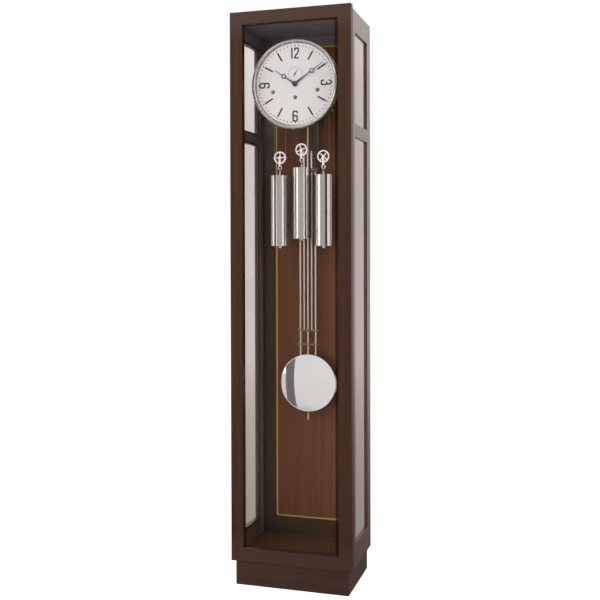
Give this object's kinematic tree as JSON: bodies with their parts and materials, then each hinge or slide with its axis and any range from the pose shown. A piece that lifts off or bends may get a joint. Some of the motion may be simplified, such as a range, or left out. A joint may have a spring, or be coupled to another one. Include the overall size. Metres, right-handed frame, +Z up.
{
  "type": "longcase clock",
  "caption": "Tall glazed longcase clock with a bevelled full-height door, round dial, gridiron pendulum and cable-hung weights that drive a wheel movement.",
  "frame": {"origin": "on the floor, under the middle of the case", "axes": "+Z up, -Y towards the viewer who reads the dial, +X to that viewer's right"},
  "size_m": [0.4174, 0.282, 1.9],
  "materials": {
    "front_wood": "satin stained walnut veneer",
    "case_wood": "satin stained walnut veneer",
    "back_wood": "satin walnut veneer",
    "clear_glass": "polished",
    "brass": "polished",
    "chrome": "mirror polished",
    "steel": "bright turned",
    "black_steel": "black",
    "iron": "dark enamel",
    "dial_silver": "fine silvered"
  },
  "bodies": {
    "case": {"plinth_boards": "case_wood", "floor_board": "case_wood", "top_board": "case_wood", "left_side_frame": "case_wood", "right_side_frame": "case_wood", "side_panes": "clear_glass", "side_glazing_beads": "case_wood", "back_panel": "back_wood", "brass_inlay": "brass", "movement_bracket": "black_steel", "bracket_screws": "steel", "front_plate": "brass", "back_plate": "brass", "movement_pillars": "steel", "dial_plate": "dial_silver", "dial_bezel": "chrome", "chime_block": "iron", "chime_rods": "iron", "suspension_cock": "brass", "hinge_case_leaves_and_pins": "brass", "catch_magnet": "black_steel", "left_cable": "steel", "middle_cable": "steel", "right_cable": "steel"},
    "door": {"door_frame": "front_wood", "door_glass": "clear_glass", "door_glazing_beads": "front_wood", "hinge_door_leaves": "brass", "catch_strike_plate": "steel"},
    "pendulum": {"suspension_spring": "steel", "pendulum_hook": "brass", "grid_steel_rods": "chrome", "grid_brass_rods": "brass", "grid_bridges": "chrome", "pendulum_bob": "chrome"},
    "rating": {"rating_nut": "chrome"},
    "escapement": {"pallets_and_crutch": "steel"},
    "centre_arbor": {"centre_wheel": "brass", "cannon_pinion": "brass", "minute_hand": "black_steel"},
    "hour_pipe": {"hour_wheel": "brass", "hour_hand": "black_steel"},
    "motion_arbor": {"minute_wheel": "brass"},
    "third_arbor": {"third_wheel": "brass"},
    "escape_arbor": {"escape_wheel": "brass", "seconds_hand": "black_steel"},
    "great_arbor": {"going_great_wheel": "brass"},
    "hammer_set": {"chime_hammers": "steel"},
    "left_load": {"left_weight": "chrome", "left_stirrup": "chrome"},
    "left_sheave": {"left_pulley": "chrome"},
    "left_winder": {"left_drum": "brass"},
    "middle_load": {"middle_weight": "chrome", "middle_stirrup": "chrome"},
    "middle_sheave": {"middle_pulley": "chrome"},
    "middle_winder": {"middle_drum": "brass"},
    "right_load": {"right_weight": "chrome", "right_stirrup": "chrome"},
    "right_sheave": {"right_pulley": "chrome"},
    "right_winder": {"right_drum": "brass"}
  },
  "joints": [
    {"name": "door_hinge", "type": "hinge", "parent": "case", "child": "door", "pos_m": [-0.2088, -0.114, 1], "axis": [0, 0, -1], "range_deg": [0, 110]},
    {"name": "pendulum_swing", "type": "hinge", "parent": "case", "child": "pendulum", "pos_m": [0, 0.073, 1.7245], "axis": [0, 1, 0], "range_deg": [-2, 2]},
    {"name": "pallets_rock", "type": "hinge", "parent": "case", "child": "escapement", "pos_m": [0, 0, 1.7245], "axis": [0, 1, 0], "range_deg": [-2, 2]},
    {"name": "rating_turn", "type": "hinge", "parent": "pendulum", "child": "rating", "pos_m": [0, 0.073, 0.548], "axis": [0, 0, 1], "range_deg": [-1080, 1080]},
    {"name": "minute_turn", "type": "hinge", "parent": "case", "child": "centre_arbor", "pos_m": [0, 0, 1.665], "axis": [0, 1, 0], "continuous": true},
    {"name": "hour_turn", "type": "hinge", "parent": "case", "child": "hour_pipe", "pos_m": [0, 0, 1.665], "axis": [0, 1, 0], "continuous": true},
    {"name": "motion_turn", "type": "hinge", "parent": "case", "child": "motion_arbor", "pos_m": [-0.02255, 0, 1.65679], "axis": [0, 1, 0], "continuous": true},
    {"name": "third_turn", "type": "hinge", "parent": "case", "child": "third_arbor", "pos_m": [0.01817, 0, 1.68497], "axis": [0, 1, 0], "continuous": true},
    {"name": "escape_turn", "type": "hinge", "parent": "case", "child": "escape_arbor", "pos_m": [0, 0, 1.699], "axis": [0, 1, 0], "continuous": true},
    {"name": "great_turn", "type": "hinge", "parent": "case", "child": "great_arbor", "pos_m": [0, 0, 1.621], "axis": [0, 1, 0], "continuous": true},
    {"name": "hammer_lift", "type": "hinge", "parent": "case", "child": "hammer_set", "pos_m": [0.075, 0.1, 1.7], "axis": [0, 1, 0], "range_deg": [0, 12], "stiffness_Nm_per_rad": 0.4},
    {"name": "left_weight_drop", "type": "slide", "parent": "case", "child": "left_load", "axis": [0, 0, 1], "range_m": [-0.9, 0], "deforming": ["left_cable"]},
    {"name": "left_drum_turn", "type": "hinge", "parent": "case", "child": "left_winder", "pos_m": [-0.077, 0, 1.642], "axis": [0, 1, 0], "range_deg": [0, 5290]},
    {"name": "left_pulley_turn", "type": "hinge", "parent": "left_load", "child": "left_sheave", "pos_m": [-0.077, 0, 1.43], "axis": [0, 1, 0], "range_deg": [0, 2646]},
    {"name": "middle_weight_drop", "type": "slide", "parent": "case", "child": "middle_load", "axis": [0, 0, 1], "range_m": [-0.9, 0], "deforming": ["middle_cable"]},
    {"name": "middle_drum_turn", "type": "hinge", "parent": "case", "child": "middle_winder", "pos_m": [0, 0, 1.621], "axis": [0, 1, 0], "range_deg": [-5290, 0]},
    {"name": "middle_pulley_turn", "type": "hinge", "parent": "middle_load", "child": "middle_sheave", "pos_m": [0, 0, 1.455], "axis": [0, 1, 0], "range_deg": [-2646, 0]},
    {"name": "right_weight_drop", "type": "slide", "parent": "case", "child": "right_load", "axis": [0, 0, 1], "range_m": [-0.9, 0], "deforming": ["right_cable"]},
    {"name": "right_drum_turn", "type": "hinge", "parent": "case", "child": "right_winder", "pos_m": [0.077, 0, 1.642], "axis": [0, 1, 0], "range_deg": [-5290, 0]},
    {"name": "right_pulley_turn", "type": "hinge", "parent": "right_load", "child": "right_sheave", "pos_m": [0.077, 0, 1.43], "axis": [0, 1, 0], "range_deg": [-2646, 0]}
  ],
  "couplings": [
    {"joint": "pallets_rock", "follows": "pendulum_swing", "ratio": 1},
    {"joint": "hour_turn", "follows": "minute_turn", "ratio": 0.083333},
    {"joint": "motion_turn", "follows": "minute_turn", "ratio": -0.33333},
    {"joint": "third_turn", "follows": "minute_turn", "ratio": -8},
    {"joint": "escape_turn", "follows": "minute_turn", "ratio": 60},
    {"joint": "great_turn", "follows": "minute_turn", "ratio": -0.083333},
    {"joint": "left_drum_turn", "follows": "left_weight_drop", "rad_per_m": -102.56},
    {"joint": "left_pulley_turn", "follows": "left_weight_drop", "rad_per_m": -51.282},
    {"joint": "middle_drum_turn", "follows": "middle_weight_drop", "rad_per_m": 102.56},
    {"joint": "middle_pulley_turn", "follows": "middle_weight_drop", "rad_per_m": 51.282},
    {"joint": "right_drum_turn", "follows": "right_weight_drop", "rad_per_m": 102.56},
    {"joint": "right_pulley_turn", "follows": "right_weight_drop", "rad_per_m": 51.282}
  ]
}
